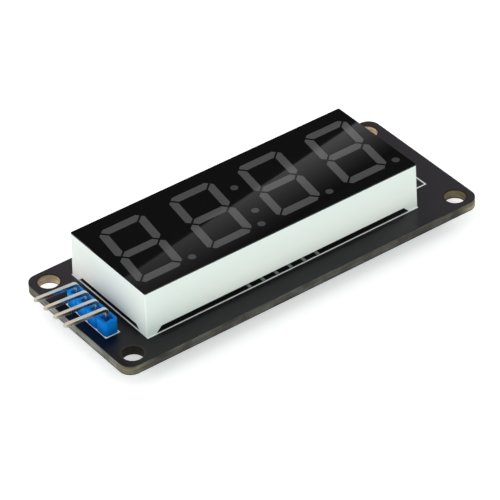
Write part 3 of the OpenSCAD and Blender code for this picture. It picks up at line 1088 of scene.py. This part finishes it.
@dataclass
class DisplayHead(Assembly):
    """The display: its white case, black film, filled segments, light chips, pins and their solder."""

    case_edge: float = 0.07 * MM
    pin_edge: float = 0.08 * MM
    shell: float = 1.2 * MM
    low: Vector = field(init=False)
    high: Vector = field(init=False)

    def on_shell(self, place: Vector) -> bool:
        """Tells whether a place is on the case's outer walls, below its flat top."""
        walls = (place.x - self.low.x, self.high.x - place.x, place.y - self.low.y, self.high.y - place.y)
        return min(walls) < self.shell and place.z < self.high.z - self.case_edge

    def build(self) -> None:
        """Dresses the display from the outside in."""
        f = self.finishes
        self.low, self.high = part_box("display_case")
        self.shop.soften("display_case", f.case, Slot.CASE, self.case_edge, where=self.on_shell)
        self.shop.dress("face_film", f.film)
        self.shop.dress("potting_resin", f.resin)
        self.shop.dress("led_carrier", f.carrier)
        self.shop.dress("led_chips", f.light_chip)
        for node in self.shop.named("display_pin_"):
            self.shop.soften(node, f.tin, Slot.PIN, self.pin_edge)
        self.shop.dress("display_solder_joints", f.solder)


@dataclass
class PinHeader(Assembly):
    """The bent pin header: its blue block, its pins and their solder."""

    block_edge: float = 0.07 * MM
    pin_edge: float = 0.1 * MM

    def build(self) -> None:
        """Dresses the block and then each pin."""
        f = self.finishes
        self.shop.soften("header_block", f.blue, Slot.HEADER, self.block_edge)
        for node in self.shop.named("header_pin_"):
            self.shop.soften(node, f.pin, Slot.HEADER_PIN, self.pin_edge)
        self.shop.dress("header_solder_joints", f.solder)


@dataclass
class DriverSide(Assembly):
    """The driver chip and the small parts on the underside."""

    chip_edge: float = 0.08 * MM
    lead_edge: float = 0.04 * MM
    part_edge: float = 0.05 * MM

    def build(self) -> None:
        """Dresses the chip, its leads and each chip part with its metal ends."""
        f = self.finishes
        self.shop.soften("driver_chip", f.chip, Slot.CHIP, self.chip_edge)
        self.shop.soften("driver_leads", f.tin, Slot.LEAD, self.lead_edge)
        for node in self.shop.named():
            if node.endswith("_terminals"):
                self.shop.soften(node, f.tin, Slot.TERMINAL, self.part_edge)
            elif "resistor" in node:
                self.shop.soften(node, f.resistor, Slot.RESISTOR, self.part_edge)
            elif "capacitor" in node:
                self.shop.soften(node, f.ceramic, Slot.CAPACITOR, self.part_edge)


@dataclass
class Studio(Assembly):
    """The pale floor, the soft lights and the camera."""

    eye: Colour = (-236.795 * MM, -330.881 * MM, 311.259 * MM)
    ahead: Colour = (0.460714, 0.646306, -0.608302)
    roll_deg: float = 2.171
    lens: float = 244.121
    sensor: float = 36.0
    nearest: float = 0.01
    floor_r: float = 6.0
    floor_points: int = 96
    sky_high: float = 0.65
    sky_low: float = 0.02
    sky_span: Point = (0.66, 0.86)
    sky_foot: Point = (0.02, 0.09)
    wrap_r: float = 3.0
    wrap_h: float = 2.8
    wrap_points: int = 64
    wrap_glow: Point = (1.31, 0.88)
    wrap_front: Colour = (0.74, 0.90, 0.86)
    wrap_back: Colour = (1.16, 1.10, 1.12)
    sun_way: Colour = (-0.55, -0.30, 0.78)
    sun_strength: float = 0.5
    sun_spread_deg: float = 60.0
    card_edge: tuple[Colour, Colour] = ((0.4910, 0.8039, 0.7564), (0.6197, 0.7687, 0.6945))
    card_rise: Colour = (0.01431, -0.01996, 0.01074)
    card_glow: Point = (0.35, 0.95)
    card_fade: float = 1.6

    def build(self) -> None:
        """Sets up the floor, the lights and the camera."""
        self.lay_floor()
        self.hang_sky()
        self.hang_wrap()
        self.hang_sun()
        self.hang_card()
        self.place_camera()

    def stand(self, data: bpy.types.Mesh, material: bpy.types.Material, z: float = 0.0) -> bpy.types.Object:
        """Puts a thing of the studio in its place.

        Args:
            data: Its mesh, which names it.
            material: Its material.
            z: Its height.

        Returns:
            The new object.
        """
        data.materials.append(material)
        thing = bpy.data.objects.new(data.name, data)
        thing.location.z = z
        bpy.context.scene.collection.objects.link(thing)
        LOG.info("placed %s", thing.name)
        return thing

    def lay_floor(self) -> None:
        """Lays the floor under the lowest point of the module."""
        mesh = bmesh.new()
        bmesh.ops.create_circle(mesh, cap_ends=True, segments=self.floor_points, radius=self.floor_r)
        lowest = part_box("display_pin_1")[0].z
        self.stand(self.shop.keep("floor", mesh), self.shop.material(self.finishes.floor), lowest)

    def hang_sky(self) -> None:
        """Lights the studio from overhead and keeps the ring around the module dark for the gloss."""
        bpy.context.scene.world = bpy.data.worlds.new("studio")
        sheet = ShaderSheet(bpy.context.scene.world, "Background")
        height = sheet.parts(sheet.node("TexCoord").outputs["Generated"])["Z"]
        overhead = sheet.step(height, *self.sky_span, self.sky_low, self.sky_high)
        foot = sheet.step(height, *self.sky_foot, self.sky_high, 0.0)
        sheet.set("Color", WHITE)
        sheet.set("Strength", sheet.math("ADD", overhead, foot))

    @staticmethod
    def lamp_sheet(name: str, coordinates: str) -> tuple[ShaderSheet, Sockets]:
        """Starts the sheet of a thing that only glows.

        Args:
            name: The material's name.
            coordinates: The kind of coordinates that its glow follows.

        Returns:
            The sheet, and the X, Y and Z sockets of those coordinates.
        """
        sheet = ShaderSheet(bpy.data.materials.new(name))
        sheet.set("Base Color", BLACK)
        sheet.set("Specular IOR Level", 0.0)
        return sheet, sheet.parts(sheet.node("TexCoord").outputs[coordinates])

    def hang_wrap(self) -> None:
        """Stands a glowing paper wall around the floor, which lights every side and isn't mirrored."""
        mesh, r = bmesh.new(), self.wrap_r
        bmesh.ops.create_cone(
            mesh, cap_ends=False, segments=self.wrap_points, radius1=r, radius2=r, depth=self.wrap_h
        )
        sheet, place = self.lamp_sheet("wrap_light", "Generated")
        tint = sheet.blend(place["Y"], self.wrap_front, self.wrap_back)
        sheet.glow(tint, sheet.spread(place["X"], *self.wrap_glow))
        wall = self.stand(self.shop.keep("wrap_light", mesh), sheet.owner, self.wrap_h / 2)
        wall.visible_camera = wall.visible_glossy = wall.visible_shadow = False

    def hang_sun(self) -> None:
        """Hangs the broad soft light from above, without a mirror image in the gloss."""
        lamp = bpy.data.lights.new("soft_light", "SUN")
        lamp.energy = self.sun_strength
        lamp.angle = math.radians(self.sun_spread_deg)
        light = bpy.data.objects.new(lamp.name, lamp)
        light.rotation_mode = "QUATERNION"
        light.rotation_quaternion = Vector(self.sun_way).to_track_quat("Z", "Y")
        light.visible_glossy = False
        bpy.context.scene.collection.objects.link(light)

    def hang_card(self) -> None:
        """Hangs the narrow glowing card that the face mirrors, brightest along its lower edge."""
        left, right = (Vector(p) for p in self.card_edge)
        rise = Vector(self.card_rise)
        data = bpy.data.meshes.new("glow_card")
        data.from_pydata([left, right, right + rise, left + rise], [], [(0, 1, 2, 3)])
        layer = data.uv_layers.new(name="card")
        for corner, uv in zip(layer.data, ((0, 0), (1, 0), (1, 1), (0, 1))):
            corner.uv = uv
        sheet, place = self.lamp_sheet("glow_card", "UV")
        fade = sheet.math("POWER", sheet.math("SUBTRACT", 1.0, place["Y"]), self.card_fade)
        sheet.glow(WHITE, sheet.math("MULTIPLY", fade, sheet.spread(place["X"], *self.card_glow)))
        card = self.stand(data, sheet.owner)
        card.visible_camera = card.visible_diffuse = card.visible_shadow = False

    def place_camera(self) -> None:
        """Places the camera where the photograph was taken from."""
        lens = bpy.data.cameras.new("camera")
        lens.sensor_width = self.sensor
        lens.lens = self.lens
        lens.clip_start = self.nearest
        camera = bpy.data.objects.new("camera", lens)
        camera.location = self.eye
        camera.rotation_mode = "QUATERNION"
        turn = Quaternion((0.0, 0.0, 1.0), -math.radians(self.roll_deg))
        camera.rotation_quaternion = Vector(self.ahead).to_track_quat("-Z", "Y") @ turn
        bpy.context.scene.collection.objects.link(camera)
        bpy.context.scene.camera = camera
        bpy.context.scene.view_settings.view_transform = "Standard"


def main() -> None:
    """Builds the module's pieces in order, from the board up, and then the studio."""
    logging.basicConfig(level=logging.INFO, format="%(name)s: %(message)s")
    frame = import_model()
    shop = Workshop(frame)
    finishes = Finishes()
    for assembly in (CircuitBoard, DisplayHead, PinHeader, DriverSide, Studio):
        assembly(shop, finishes).build()
        LOG.info("finished %s", assembly.__name__)
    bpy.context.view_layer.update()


if __name__ == "__main__":
    main()
